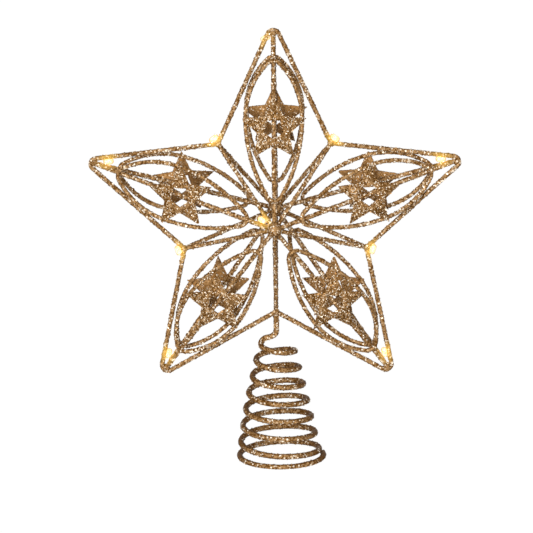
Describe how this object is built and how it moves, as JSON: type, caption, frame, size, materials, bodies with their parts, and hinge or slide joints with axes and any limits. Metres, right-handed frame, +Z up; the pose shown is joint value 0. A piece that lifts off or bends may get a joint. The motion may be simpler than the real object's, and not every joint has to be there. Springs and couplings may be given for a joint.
{
  "type": "tree topper star",
  "caption": "Double-sided five-point wire star with leaf-shaped loops, stamped stars and lamp beads, on a conical coil spring that slips over a treetop.",
  "frame": {"origin": "on the surface the coil stands on, on the coil's axis", "axes": "+Z up along the coil's axis to the star's top point, -Y towards the viewer (the star's front face), +X to the viewer's right"},
  "size_m": [0.212, 0.0576, 0.2529],
  "materials": {
    "star_wire": "gold glitter over iron wire",
    "stamped_star": "gold glitter on the outer face, plain gold-brown paint inside",
    "weld": "gold glitter over a weld",
    "coil_wire": "gold glitter over spring wire",
    "lamp": "lit warm-white drop"
  },
  "bodies": {
    "coil": {"coil_spring": "coil_wire"},
    "star": {"back_hub_weld": "weld", "bottom_back_spoke": "star_wire", "bottom_front_spoke": "star_wire", "front_hub_weld": "weld", "hub_lamp": "lamp", "left_back_petal": "star_wire", "left_back_ridge": "star_wire", "left_back_star": "stamped_star", "left_front_petal": "star_wire", "left_front_ridge": "star_wire", "left_front_star": "stamped_star", "left_point_rim": "star_wire", "lower_left_back_petal": "star_wire", "lower_left_back_ridge": "star_wire", "lower_left_back_spoke": "star_wire", "lower_left_back_star": "stamped_star", "lower_left_front_petal": "star_wire", "lower_left_front_ridge": "star_wire", "lower_left_front_spoke": "star_wire", "lower_left_front_star": "stamped_star", "lower_left_point_rim": "star_wire", "lower_right_back_petal": "star_wire", "lower_right_back_ridge": "star_wire", "lower_right_back_spoke": "star_wire", "lower_right_back_star": "stamped_star", "lower_right_front_petal": "star_wire", "lower_right_front_ridge": "star_wire", "lower_right_front_spoke": "star_wire", "lower_right_front_star": "stamped_star", "lower_right_point_rim": "star_wire", "right_back_petal": "star_wire", "right_back_ridge": "star_wire", "right_back_star": "stamped_star", "right_front_petal": "star_wire", "right_front_ridge": "star_wire", "right_front_star": "stamped_star", "right_point_rim": "star_wire", "stem": "coil_wire", "tip_lamps": "lamp", "tip_welds": "weld", "top_back_petal": "star_wire", "top_back_ridge": "star_wire", "top_back_star": "stamped_star", "top_front_petal": "star_wire", "top_front_ridge": "star_wire", "top_front_star": "stamped_star", "top_point_rim": "star_wire", "upper_left_back_spoke": "star_wire", "upper_left_front_spoke": "star_wire", "upper_right_back_spoke": "star_wire", "upper_right_front_spoke": "star_wire", "valley_lamps": "lamp", "valley_welds": "weld"}
  },
  "joints": [
    {"name": "star_bob", "type": "slide", "parent": "coil", "child": "star", "axis": [0, 0, 1], "range_m": [-0.03, 0.012], "stiffness_N_per_m": 1100, "springref_m": 0.0015, "deforming": ["coil_spring"]}
  ]
}
